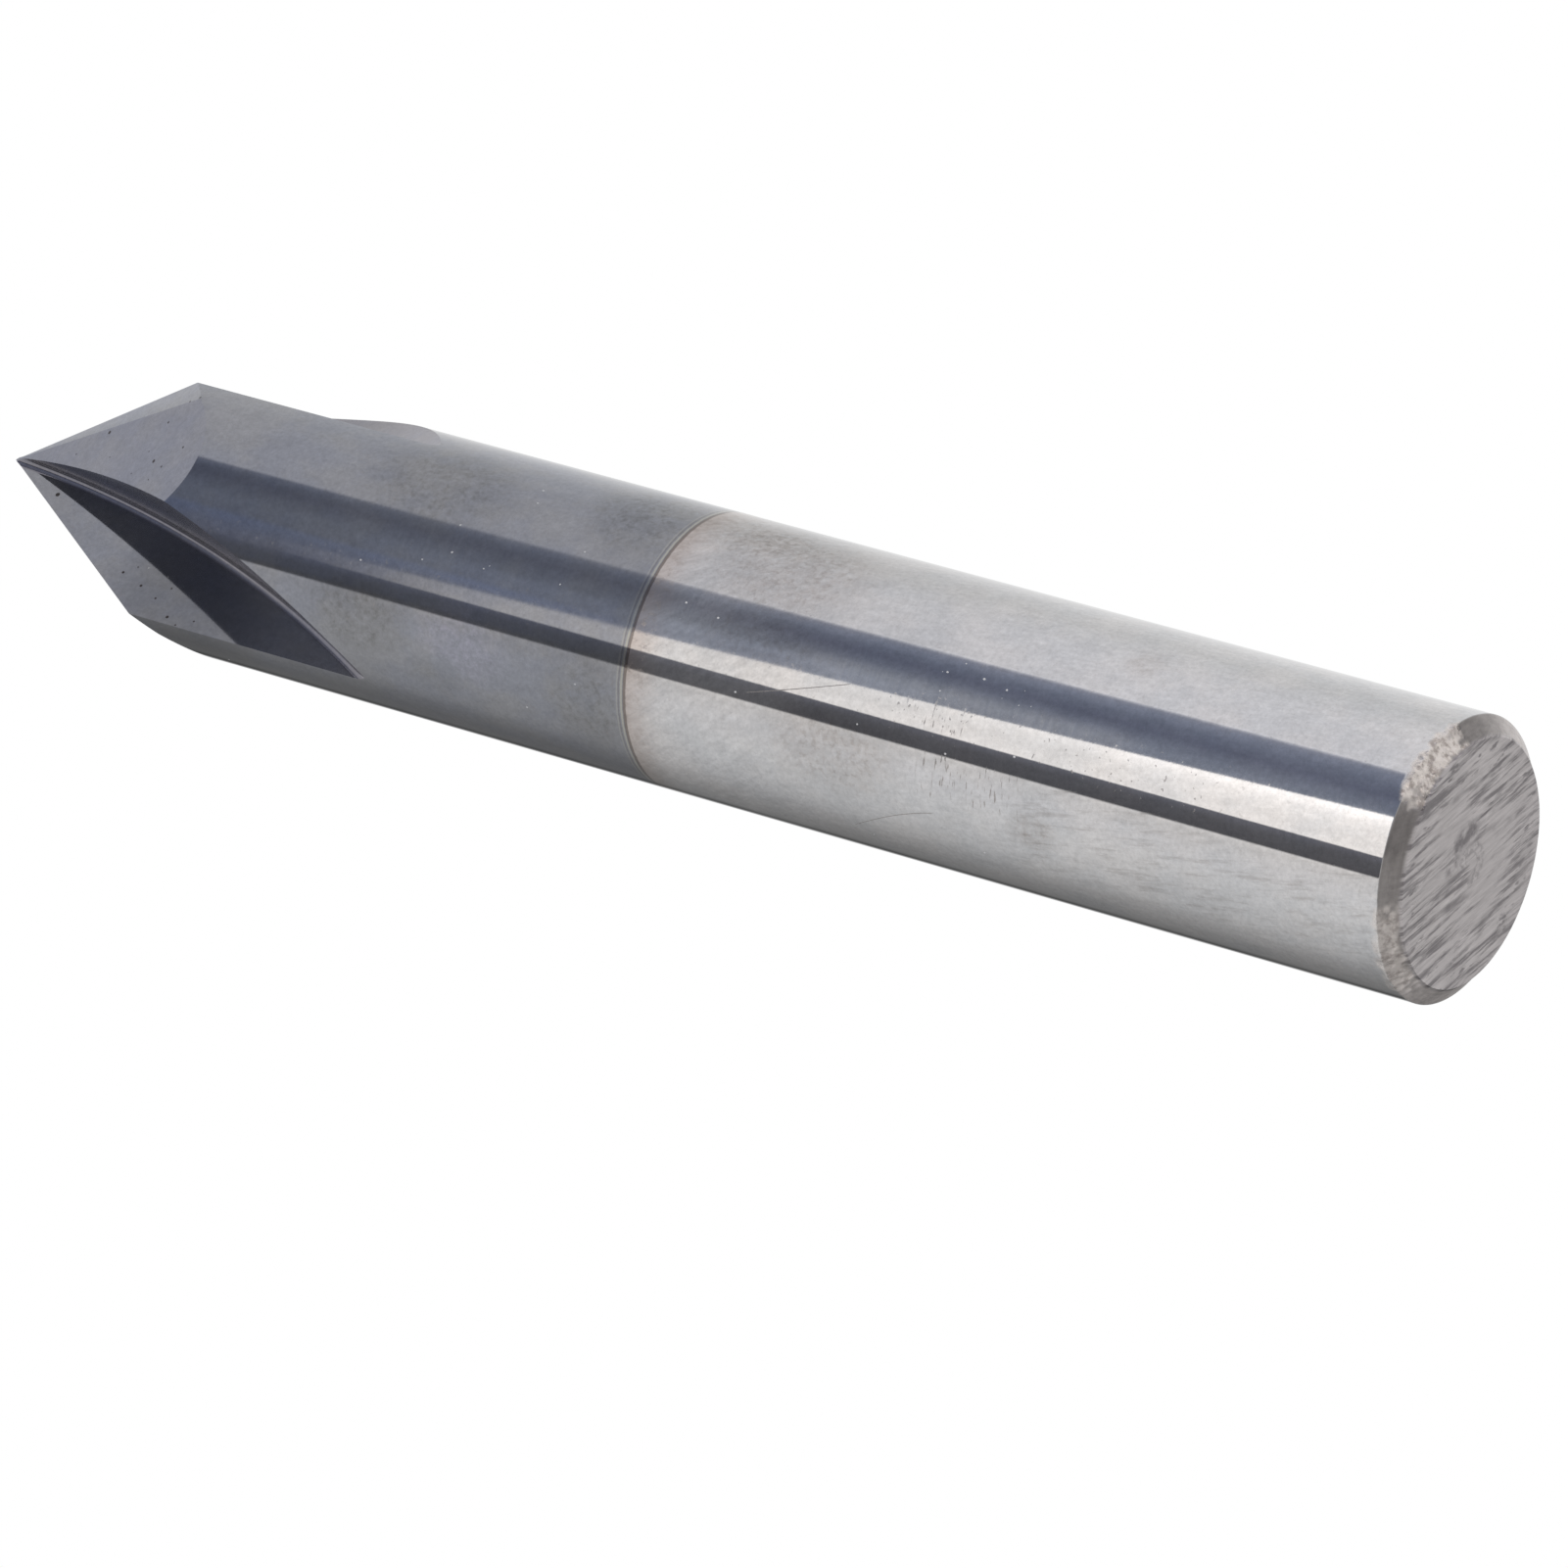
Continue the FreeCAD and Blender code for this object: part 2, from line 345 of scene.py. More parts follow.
def joinShankEnd(blank, shankEnd):
    # the blank loses its lower fan and is sewn to the shank end along their common ring
    work = bmesh.new()
    work.from_mesh(blank.data)
    level = bar["joinHeight"] + bar["sewReach"]
    lowerFan = [face for face in work.faces if all(vert.co.z < level for vert in face.verts)]
    bmesh.ops.delete(work, geom=lowerFan, context="FACES")
    work.from_mesh(shankEnd.data)
    bmesh.ops.remove_doubles(work, verts=work.verts, dist=bar["sewReach"])
    bmesh.ops.delete(work, geom=[vert for vert in work.verts if not vert.link_faces], context="VERTS")
    bmesh.ops.recalc_face_normals(work, faces=work.faces)
    work.to_mesh(blank.data)
    work.free()
    bpy.data.objects.remove(shankEnd)


flutes = {
    "teeth": 3,
    "wheelRadius": 59.3 * mm,
    "cornerRadius": 0.3 * mm,
    "taper": math.radians(13.8),
    "lead": 2.9 * mm,  # the wheel's centre lies this far past the point
    "tipWeb": 0.28 * mm,
    "innerRadius": 52.0 * mm,
    "rimLength": 8.5 * mm,
    "cornerSteps": 10,
    "sweep": (math.radians(-4), math.radians(32), 260),
}
flutes["flatRadius"] = flutes["wheelRadius"] - flutes["cornerRadius"]
flutes["centreX"] = math.sqrt(flutes["flatRadius"] ** 2 - flutes["lead"] ** 2) + flutes["tipWeb"]
flutes["centreZ"] = toolLength + flutes["lead"]

reliefs = {
    "pointAngle": math.radians(60),
    "turns": (math.radians(32.4), math.radians(42.5)),
    "landAngle": math.radians(11),
    "block": (10 * mm, 20 * mm, 14 * mm),
}


def toothTurn(tooth):
    return 2 * math.pi * tooth / flutes["teeth"]


def turnedZ(points, angle):
    return points @ np.array(Matrix.Rotation(-angle, 3, "Z"))


def makeWheel(tooth):
    # the grinding wheel's closed profile (radius, depth) carried on an arc about its spindle:
    # flat side, round corner, tapered rim
    taper = flutes["taper"]
    corner = np.linspace(-np.pi / 2, taper, flutes["cornerSteps"])
    radius = flutes["flatRadius"] + flutes["cornerRadius"] * np.cos(corner)
    depth = flutes["cornerRadius"] * (1 + np.sin(corner))
    rim = flutes["rimLength"]
    radius = np.concatenate([[flutes["innerRadius"]], radius,
                             [radius[-1] - rim * math.sin(taper), flutes["innerRadius"]]])
    depth = np.concatenate([[0], depth, [depth[-1] + rim * math.cos(taper)] * 2])
    swing = np.linspace(*flutes["sweep"])[:, None]
    points = np.stack([flutes["centreX"] - radius * np.cos(swing), depth + 0 * swing,
                       flutes["centreZ"] - radius * np.sin(swing)], 2)
    rows, columns = points.shape[:2]
    faces = gridQuads(rows, columns).tolist()
    faces += [list(range(columns)), list(range((rows - 1) * columns, rows * columns))]
    return makeObject("wheel", turnedZ(points, toothTurn(tooth)), faces)


def makeReliefBlock(tooth, steepness, turn):
    # a block outside a flat through the point, where steepness times reach plus height is the length
    azimuth = toothTurn(tooth) - turn
    normal = Vector((steepness * math.cos(azimuth), steepness * math.sin(azimuth), 1)).normalized()
    across = Vector((-math.sin(azimuth), math.cos(azimuth), 0))
    down = normal.cross(across)
    wide, tall, thick = reliefs["block"]
    point = Vector((0, 0, toolLength))
    corners = [point + across * wide * a + down * tall * b + normal * thick * c
               for c in (0, 1) for a, b in ((-1, -1), (1, -1), (1, 1), (-1, 1))]
    faces = [[0, 1, 2, 3], [4, 5, 6, 7]]
    faces += [[i, (i + 1) % 4, (i + 1) % 4 + 4, i + 4] for i in range(4)]
    return makeObject("relief", np.array(corners), faces)


def cutWith(blank, cutters):
    for cutter in cutters:
        cut = blank.modifiers.new(cutter.name, "BOOLEAN")
        cut.operation = "DIFFERENCE"
        cut.solver = "EXACT"
        cut.object = cutter
    shaped = blank.evaluated_get(bpy.context.evaluated_depsgraph_get())
    mesh = bpy.data.meshes.new_from_object(shaped)
    blank.modifiers.clear()
    blank.data = mesh
    for cutter in cutters:
        bpy.data.objects.remove(cutter)


def writeAttribute(mesh, name, domain, values):
    attribute = mesh.attributes.new(name, "FLOAT", domain)
    attribute.data.foreach_set("value", values.astype(np.float32))


def readArray(items, name, width, kind=np.float64):
    values = np.zeros(len(items) * width, kind)
    items.foreach_get(name, values)
    return values.reshape(-1, width) if width > 1 else values


def setNormals(mesh):
    # true surface normals: radial on the cylinder, from the wheel's corner and rim in the flutes,
    # flat on the ground flats, and Blender's own on the end face, chamfer and chips
    mesh.polygons.foreach_set("use_smooth", np.ones(len(mesh.polygons), bool))
    mesh.set_sharp_from_angle(angle=bar["sharpAngle"])
    normals = readArray(mesh.corner_normals, "vector", 3)
    starts = readArray(mesh.polygons, "loop_start", 1, np.int32)
    totals = readArray(mesh.polygons, "loop_total", 1, np.int32)
    flat = np.repeat(readArray(mesh.polygons, "normal", 3), totals, 0)
    points = readArray(mesh.vertices, "co", 3)[readArray(mesh.loops, "vertex_index", 1, np.int32)]
    taper = flutes["taper"]
    near = 2e-6  # metres off a surface that count as on it
    upright = 0.01  # largest height of a normal on the cylinder
    rake = 0.999  # a face turned further than this is a flat rake face

    def onAll(test):  # true where it holds for every corner of the face
        return np.repeat(np.minimum.reduceat(test.astype(int), starts), totals) > 0

    reach = np.hypot(points[:, 0], points[:, 1])
    away = np.maximum(reach, near)
    radial = np.stack([points[:, 0] / away, points[:, 1] / away, 0 * reach], 1)
    ground = points[:, 2] > bar["chamferHeight"] + bar["lipHeight"] - near
    onCylinder = onAll((np.abs(reach - toolRadius) < near) & ground) & (np.abs(flat[:, 2]) < upright)
    result = np.where(onAll(ground)[:, None], flat, normals)
    result = np.where(onCylinder[:, None], radial, result)
    fluted = np.zeros(len(points))
    for tooth in range(flutes["teeth"]):
        angle = toothTurn(tooth)
        local = turnedZ(points, -angle)
        facing = turnedZ(flat, -angle)
        fromX = local[:, 0] - flutes["centreX"]
        fromZ = local[:, 2] - flutes["centreZ"]
        radius = np.hypot(fromX, fromZ)
        overRim = radius - flutes["flatRadius"]
        overFlat = local[:, 1] - flutes["cornerRadius"]
        offCorner = np.hypot(overRim, overFlat)
        offCone = overRim * math.cos(taper) + overFlat * math.sin(taper)
        offWheel = np.where(overFlat > overRim * math.tan(taper), offCone, offCorner)
        tilt = np.minimum(np.arctan2(overFlat, overRim), taper)
        outward = np.stack([np.cos(tilt) * fromX / radius, np.sin(tilt),
                            np.cos(tilt) * fromZ / radius], 1)
        onWheel = onAll(np.abs(offWheel - flutes["cornerRadius"]) < 2 * near) & ~onCylinder
        onWheel &= facing[:, 1] < rake
        result = np.where(onWheel[:, None], turnedZ(-outward, angle), result)
        fluted = np.maximum(fluted, onWheel)
    mesh.normals_split_custom_set(result.tolist())
    writeAttribute(mesh, "fluted", "CORNER", fluted)


def markBroken(mesh):
    # the ragged chipped stretches, kept on the mesh for the finish to read
    points = readArray(mesh.vertices, "co", 3)
    path = bar["chamferLength"] * np.clip(points[:, 2] / bar["chamferHeight"], 0, 1)
    path = path + np.maximum(points[:, 2] - bar["chamferHeight"], 0)
    share = brokenShare(np.arctan2(points[:, 1], points[:, 0]), path)
    writeAttribute(mesh, "broken", "POINT", share)


def reliefSteepness():
    # the primary flat has the point's half angle at the cutting edge. The secondary one starts where
    # the land ends, so the two have the same reach at that azimuth.
    primaryTurn, secondaryTurn = reliefs["turns"]
    primary = 1 / (math.tan(reliefs["pointAngle"] / 2) * math.cos(primaryTurn))
    land = reliefs["landAngle"]
    return primary, primary * math.cos(primaryTurn - land) / math.cos(secondaryTurn - land)


tool = makeBlank()
teeth = range(flutes["teeth"])
cutters = [makeWheel(tooth) for tooth in teeth]
cutters += [makeReliefBlock(tooth, steepness, turn) for tooth in teeth
            for steepness, turn in zip(reliefSteepness(), reliefs["turns"])]
cutWith(tool, cutters)
joinShankEnd(tool, makeShankEnd())
setNormals(tool.data)
markBroken(tool.data)
print("shape:", len(tool.data.vertices), "points,", len(tool.data.polygons), "faces")


# below, places and reaches are in millimetres and angles in degrees
finish = {
    "coatingStart": 37.6,
    "coatingSoft": 0.03,
    "bare": ((0.575, 0.577, 0.590), (0.612, 0.602, 0.604)),
    "coat": ((0.255, 0.265, 0.300), (0.270, 0.274, 0.293)),
    "tarnish": (0.45, 0.385, 0.35),  # pink-brown heat tint beside the coating
    "stain": (0.24, 0.21, 0.19),
    "bareStain": (0.93, 0.89, 0.86),
    "coatStain": (0.94, 0.93, 0.89),  # greenish cast of the smudges on the coating
    "coatClean": (1.04, 0.99, 1.05),  # lavender cast where the coating is cleanest
    # the flutes' colour: partly their own browner cast, partly painted shade in the hollows
    "fluteCastAndShade": (0.85, 0.81, 0.83),
    "seam": (0.13, 0.11, 0.10),
    "seamLight": (0.42, 0.41, 0.36),
    "pit": (0.035, 0.03, 0.03),
    "sawn": (0.520, 0.490, 0.490),
    "sawnDark": (0.15, 0.137, 0.145),
    "chamfer": (0.33, 0.308, 0.300),
    "broken": (0.78, 0.72, 0.68),
    "brokenDark": (0.42, 0.37, 0.345),
    "dust": (0.74, 0.74, 0.76),
    "bareRoughness": 0.03,
    "wornRoughness": 0.012,  # more of it beside the coating
    "wornStretch": (20, 34),
    "coatRoughness": 0.06,
    "fluteRoughness": 0.15,
    "workedRoughness": 0.42,
    "markRoughness": 0.34,
    "mottleRoughness": 0.04,
    "stainRoughness": 0.03,
    "coatMetal": 0.89,
    "filmDulling": 0.13,
    "seamDulling": 0.07,
    "seamReach": 5,
    "brokenDulling": 0.35,
    "dustDulling": 0.9,
    "dustShare": 0.65,
    "bumpUnit": 0.0001 * mm,  # of the heights below
    "grainHeight": 1.6,
    "fluteSmoothing": 0.6,
    "sawHeight": 80.0,
    "gougeDepth": 90.0,
    "chamferLumps": 40.0,
    "brokenLumps": 50.0,
}
textures = {  # noise cells in a millimetre, detail, roughness
    "cloud": ((0.42, 0.42, 0.30), 4.0, 0.6),
    "patch": ((1.1, 1.1, 0.9), 4.0, 0.6),
    "mottle": ((3.0, 3.0, 2.6), 4.0, 0.65),
    "grain": ((5.0, 5.0, 5.0), 3.0, 0.75),
    "strokes": ((3.6, 3.6, 0.55), 4.0, 0.65),
    "oblique": ((3.2, 3.2, 0.9), 4.0, 0.65),
    "speckles": ((3.4, 3.4, 3.4), 3.0, 0.6),
    "dashes": ((1.5, 1.5, 10.0), 2.0, 0.5),
    "dots": ((4.8, 4.8, 5.6), 1.0, 0.5),
    "film": ((0.5, 0.5, 7.0), 3.0, 0.6),
    "rings": ((0.8, 0.8, 7.0), 4.0, 0.65),
    "fineSaw": ((7.0, 0.6, 1.0), 4.0, 0.65),  # these four across and along the saw streaks
    "broadSaw": ((2.8, 0.24, 1.0), 4.0, 0.66),
    "sawPatches": ((0.42, 0.34, 1.0), 3.0, 0.6),
    "stubs": ((2.4, 0.75, 1.0), 3.0, 0.6),
}
twists = (0.03, 0.13)  # strokes and oblique marks, in radians a millimetre


def readSkin(g):
    # where a point lies on the tool, in millimetres, and which of its surfaces it belongs to
    place = g.add("ShaderNodeTexCoord", {}, {}, "Object")
    place = g.tint(place, 1 / mm)
    x, y, z = (g.axis(place, name) for name in "XYZ")
    around = y.maths("ARCTAN2", y, x) * (toolRadius / mm)
    skin = SimpleNamespace(place=place, x=x, y=y, z=z, around=around)
    skin.reach = (x * x + y * y) ** 0.5
    skin.unrolled = g.add("ShaderNodeCombineXYZ", {}, {"X": around, "Y": z})
    soft = finish["coatingSoft"]
    skin.coated = g.step(z, finish["coatingStart"] - soft, finish["coatingStart"] + soft)
    for name in ("fluted", "broken"):
        setattr(skin, name, g.add("ShaderNodeAttribute", {"attribute_name": name}, {}, "Fac"))
    for name in ("cloud", "patch", "mottle", "grain"):
        setattr(skin, name, g.noise(place, *textures[name]))
    skin.strokes = g.noise(g.twist(place, twists[0]), *textures["strokes"])
    skin.oblique = g.noise(g.twist(place, twists[1]), *textures["oblique"])
    return skin


def reachToward(skin, direction):
    # how far out a point lies in a direction (x, y)
    return skin.x * direction[0] + skin.y * direction[1]


def sideMask(g, skin, direction, start, end):
    return g.step(reachToward(skin, direction) / skin.reach, start, end)


def zoneMask(g, skin, height, around):
    return g.band(skin.z, *height) * g.band(skin.around, *around)


def onCylinder(azimuth, height):
    # a spot's centre on the unrolled cylinder
    return math.radians(azimuth) * toolRadius / mm, height, 0


marks = {
    # azimuth, height, reach around, reach along, strength (below nothing: cleaner than the rest)
    "stains": [(-15, 32.0, 3.8, 5.4, 1.0), (3, 35.0, 2.6, 3.4, 0.8), (-52, 31.5, 1.4, 5.0, 0.7),
               (-88, 27.0, 2.4, 4.4, 0.9), (-98, 17.2, 1.1, 1.6, 0.9), (-93, 9.0, 2.4, 10.0, 0.15),
               (-16, 14.5, 1.2, 1.3, 0.6), (-22, 49.5, 3.0, 5.4, 1.0), (-8, 39.8, 3.4, 3.6, 1.2),
               (-87, 51.5, 2.2, 3.6, 1.1), (-97, 39.6, 3.2, 2.8, 0.9), (-102, 47.3, 1.4, 2.0, 0.7),
               (-88, 46.2, 2.4, 3.2, -0.8)],
    "speckleLevels": (0.50, 0.64),
    "stainShares": (0.42, 0.42, 2.0),  # even shade, speckles and mottle of a stain
    # x, y, height and reach of the dark pits on a relief flat and on a rake face
    "pits": [(2.93, -0.78, 68.98, 0.12), (3.40, -3.15, 64.62, 0.12), (4.59, -1.60, 65.00, 0.08),
             (4.41, -3.12, 62.99, 0.08), (5.56, -1.06, 64.20, 0.06), (5.88, -1.08, 63.62, 0.08),
             (3.49, -2.58, 65.33, 0.05), (3.47, -3.58, 63.85, 0.07), (2.40, -1.99, 68.02, 0.05),
             (1.64, -1.10, 70.64, 0.06), (2.59, -3.26, 65.80, 0.05), (2.87, -3.93, 64.31, 0.05),
             (-0.58, -1.01, 71.85, 0.14), (-2.04, -3.53, 66.22, 0.09), (-2.24, -3.88, 64.96, 0.09),
             (-2.45, -4.24, 63.88, 0.07), (-2.82, -4.88, 62.74, 0.10), (-2.96, -5.12, 62.11, 0.06),
             (-2.10, -3.64, 63.46, 0.06), (-2.74, -4.75, 61.38, 0.06), (-1.81, -3.13, 65.70, 0.05)],
    "pitEdge": (0.1, 0.5),
    # azimuth, height and reach of the white dust grains
    "dust": [(-45.3, 35.55, 0.11), (-47.9, 33.80, 0.11), (-44.4, 22.50, 0.10), (-43.2, 20.75, 0.12),
             (-45.1, 19.55, 0.10), (-69.4, 18.25, 0.11), (-75.6, 21.50, 0.10), (-73.7, 25.90, 0.08),
             (-74.4, 32.00, 0.10), (-10.9, 45.20, 0.11), (-18.9, 44.90, 0.09), (-38.9, 47.60, 0.10),
             (-50.9, 47.40, 0.10), (-56.9, 48.70, 0.08), (-35.9, 41.30, 0.10), (-53.9, 45.60, 0.08),
             (-63.7, 51.70, 0.10)],
    "dustShape": (0.55, 0.7),  # of a grain's reach, around and along
    "dustEdge": (0.1, 0.6),
    # strewn grains: cells in a millimetre, reach in cells, share of the cells that hold one
    "strewn": (1.1, 0.05, 0.12),
    "strewnCore": 0.6,  # share of the reach at full strength
    "strewnStart": (14, 20),
    "crowded": (2.6, 0.10, 0.35),
    "crowdedStrength": 0.4,
    # two heights, places around at both, bulge between them, half width
    "scratches": [(31.6, 26.6, -7.72, -6.19, -0.03, 0.013), (26.6, 22.0, -12.90, -10.70, 0.27, 0.013)],
    "scratchEnds": (0.05, 0.95, 0.05),
    # a soft darker spot on a rake face: centre and reach
    "rakeDarkSpot": ((-2.3, -4.0, 62.3), (6.0, 6.0, 6.0)),  # soft shade on a rake face
    "rakeDarkening": 0.30,
}
wear = {
    # zones on the cylinder: start, end and fade of the height, then of the place around
    "dashed": [((18.4, 22.2, 1.0), (-9.8, -8.2, 0.4)), ((21.2, 23.4, 0.6), (-6.9, -6.1, 0.3))],
    "smeared": ((2, 17, 3), (-11.6, -8.6, 1.0)),
    "dotted": ((10, 24, 2), (-7.4, -6.0, 0.4)),
    "crowded": ((17.5, 22.5, 1.0), (-5.2, -4.2, 0.4)),
    "upperFilm": ((16, 27, 5), (-6.4, -5.6, 0.6)),
    "lowerFilm": ((36, 50, 7), (-6.3, -4.3, 0.9)),
    # texture values between which a mark grows from nothing to full
    "dashLevels": (0.59, 0.69),
    "strokeLevels": (0.50, 0.72),
    "dotLevels": (0.68, 0.75),
    "besideLevels": (0.50, 0.66),
    "strokeStrength": 0.45,
    "dotStrength": (0.2, 0.5),  # everywhere, and more of it in the dotted zone
    "beside": (-0.9, -0.1, 0.3),  # from the coating's start
    "besideStrength": 0.35,
    "filmStrength": (1.5, 0.8),  # upper and lower
    "filmLines": (0.2, 1.6),  # even haze, and the share of its lines
    "markShare": 0.65,
}


def scratchMask(g, skin):
    # hairlines: the place around is a straight run between both ends plus a bulge times 4 t (1 - t)
    lines = []
    for start, end, fromPlace, toPlace, bulge, half in marks["scratches"]:
        t = (skin.z - start) / (end - start)
        line = fromPlace + (toPlace - fromPlace) * t + 4 * bulge * t * (1 - t)
        close = 1 - g.step(abs(skin.around - line), half, 2 * half)
        lines.append(close * g.band(t, *marks["scratchEnds"]))
    return g.most(*lines)


def stainMask(g, skin):
    # smudges on the cylinder, each a soft oval, full of small dark speckles
    ovals = [g.spot(skin.unrolled, onCylinder(azimuth, height), (reachAround, reachAlong, 1)) * strength
             for azimuth, height, reachAround, reachAlong, strength in marks["stains"]]
    speckles = g.step(g.noise(skin.place, *textures["speckles"]), *marks["speckleLevels"])
    even, speckled, mottled = marks["stainShares"]
    return sum(ovals) * (even + speckled * speckles + mottled * (skin.mottle - 0.5))


def pitMask(g, skin):
    pits = [g.spot(skin.place, (x, y, z), (reach,) * 3) for x, y, z, reach in marks["pits"]]
    return g.step(g.most(*pits), *marks["pitEdge"])


def dustMask(g, skin):
    wide, tall = marks["dustShape"]
    grains = [g.spot(skin.unrolled, onCylinder(azimuth, height), (reach * wide, reach * tall, 1))
              for azimuth, height, reach in marks["dust"]]
    grains.append(strewnMask(g, skin, *marks["strewn"]) * g.step(skin.z, *marks["strewnStart"]))
    crowded = strewnMask(g, skin, *marks["crowded"]) * zoneMask(g, skin, *wear["crowded"])
    grains.append(crowded * marks["crowdedStrength"])
    return g.step(g.most(*grains), *marks["dustEdge"])


def strewnMask(g, skin, cells, reach, share):
    # strewn grains: only where a cell's middle lies close to the surface, and only in some cells
    values = {"Vector": skin.place, "Scale": cells}
    apart = g.add("ShaderNodeTexVoronoi", {}, values, "Distance")
    chance = g.axis(g.add("ShaderNodeTexVoronoi", {}, values, "Color"), "X")
    return (1 - g.step(apart, reach * marks["strewnCore"], reach)) * (chance < share)


def dashMask(g, skin):
    # dark wear: short dashes round the tool, long strokes nearer the shank end, strewn dots,
    # and a speckled fringe beside the coating
    worn = g.most(*(zoneMask(g, skin, *zone) for zone in wear["dashed"]))
    dashes = g.step(g.noise(skin.place, *textures["dashes"]), *wear["dashLevels"]) * worn
    smeared = zoneMask(g, skin, *wear["smeared"]) * wear["strokeStrength"]
    strokes = g.step(skin.strokes, *wear["strokeLevels"]) * smeared
    even, more = wear["dotStrength"]
    dotted = even + more * zoneMask(g, skin, *wear["dotted"])
    dots = g.step(g.noise(skin.place, *textures["dots"]), *wear["dotLevels"]) * dotted
    fringe = g.band(skin.z - finish["coatingStart"], *wear["beside"]) * wear["besideStrength"]
    return g.most(dashes, strokes, dots, g.step(skin.mottle, *wear["besideLevels"]) * fringe)


def filmMask(g, skin):
    # a whitish haze of fine lines round the tool where it was held
    upper, lower = wear["filmStrength"]
    held = g.most(zoneMask(g, skin, *wear["upperFilm"]) * upper,
                  zoneMask(g, skin, *wear["lowerFilm"]) * lower)
    even, lined = wear["filmLines"]
    return held * (even + lined * g.noise(skin.place, *textures["film"]))


ground = {
    "bareCloud": (0.35, 0.65),  # cloud values between which the two colours blend
    "coatCloud": (0.38, 0.62),
    "patchTone": 0.20,  # how much each texture lightens and darkens
    "mottleTone": 0.24,
    "grainTone": 0.50,
    "bareCloudTone": 0.10,
    "coatCloudTone": 0.16,
    "stainShade": 0.24,
    # painted shade: the top side of the bare carbide is darker towards the coating
    "top": ((0.94, -0.34), 0.2, 0.95),  # direction of a side, cosines between which it rises
    # painted shade: the under side of the coating is darker
    "under": ((-0.882, -0.471), 0.78, 0.99),
    "underShade": 0.32,
    # painted light: this side of the coating is lighter
    "rim": ((0.97, 0.23), 0.88, 1),
    "paintedSideLight": 0.22,
    "darkeningReach": 27,
    "darkeningAndTopShade": (0.03, 0.11),  # all round, and more of it on the top
    "tarnishReach": 2.6,
    "tarnishFade": 2.0,
    "tarnishWaver": 3,
    "tarnishShare": 0.75,
    "hatchedFrom": (24, 34),
    "obliqueMiddle": 0.45,
    "hatching": (0.45, 0.26),  # of the oblique strokes and of the straight ones
    "coatHatching": 0.7,  # less of it on the coating
    "seamWaver": 0.06,
    # start, end and fade from the coating's start, strength, colour
    "seamRings": [(-0.10, 0, 0.05, 0.75, "seam"), (0.07, 0.13, 0.035, 0.75, "seamLight"),
                  (0.23, 0.25, 0.03, 0.45, "seam"), (0.31, 0.35, 0.03, 0.3, "seamLight")],
}


def bareColour(g, skin, stained, tone):
    # bare carbide, darker towards the coating and with painted shade on its top side, with a band of
    # tarnish beside it
    beyond = skin.z - finish["coatingStart"]
    even, more = ground["darkeningAndTopShade"]
    # darker towards the coating all round, plus painted shade on the top side
    darkening = g.step(beyond, -ground["darkeningReach"], 0) * (even + more * sideMask(g, skin, *ground["top"]))
    bare = g.mix(g.step(skin.cloud, *ground["bareCloud"]), *finish["bare"])
    bare = g.tint(bare, (1 - darkening) * (1 + ground["bareCloudTone"] * (skin.cloud - 0.5) + tone))
    bare = g.mix(stained, bare, g.stretch(bare, finish["bareStain"]))
    fade = ground["tarnishFade"]
    tinted = g.step(beyond + ground["tarnishWaver"] * skin.mottle, -fade, fade)
    tinted = tinted * g.step(beyond, -ground["tarnishReach"], 0) * ground["tarnishShare"]
    return g.mix(tinted, bare, finish["tarnish"])


def coatColour(g, skin, stained, tone):
    # the dark coating, with its smudges, its clean spots, a soft darker spot on a rake face, painted
    # shade on its under side, painted light on one side, and its look in the flutes, partly painted
    # shade there
    coat = g.mix(g.step(skin.cloud, *ground["coatCloud"]), *finish["coat"])
    # painted shade on the under side of the coating
    shade = 1 - ground["underShade"] * sideMask(g, skin, *ground["under"])
    coat = g.tint(coat, (1 + ground["coatCloudTone"] * (skin.cloud - 0.5) + tone) * shade)
    # painted light on one side of the coating
    coat = g.tint(coat, 1 + ground["paintedSideLight"] * sideMask(g, skin, *ground["rim"]))
    coat = g.mix(stained, coat, g.stretch(coat, finish["coatStain"]))
    coat = g.mix(stained * -1, coat, g.stretch(coat, finish["coatClean"]))
    # a soft darker spot on a rake face, off the flutes
    rakeDarkSpot = g.spot(skin.place, *marks["rakeDarkSpot"]) * (1 - skin.fluted)
    coat = g.tint(coat, 1 - marks["rakeDarkening"] * rakeDarkSpot)
    # the flutes darker and browner: partly their own cast, partly painted shade in the hollows
    return g.mix(skin.fluted, coat, g.stretch(coat, finish["fluteCastAndShade"]))


def groundColour(g, skin, stained, dashes):
    # the ground surfaces, the seam between them and all that marks them
    tone = ground["patchTone"] * (skin.patch - 0.5) + ground["mottleTone"] * (skin.mottle - 0.5)
    tone = tone + ground["grainTone"] * (skin.grain - 0.5)
    base = g.mix(skin.coated, bareColour(g, skin, stained, tone), coatColour(g, skin, stained, tone))
    slanted, straight = ground["hatching"]
    hatched = slanted * g.step(skin.z, *ground["hatchedFrom"])
    hatched = hatched * (skin.oblique - ground["obliqueMiddle"]) + straight * (skin.strokes - 0.5)
    hatched = hatched * (1 - ground["coatHatching"] * skin.coated)
    base = g.tint(base, (1 - hatched) * (1 - ground["stainShade"] * stained))
    base = g.mix(dashes * wear["markShare"], base, finish["stain"])
    wavy = skin.z + ground["seamWaver"] * (skin.mottle - 0.5) - finish["coatingStart"]
    for start, end, fade, strength, colour in ground["seamRings"]:
        base = g.mix(g.band(wavy, start, end, fade) * strength, base, finish[colour])
    return g.mix(pitMask(g, skin), base, finish["pit"])


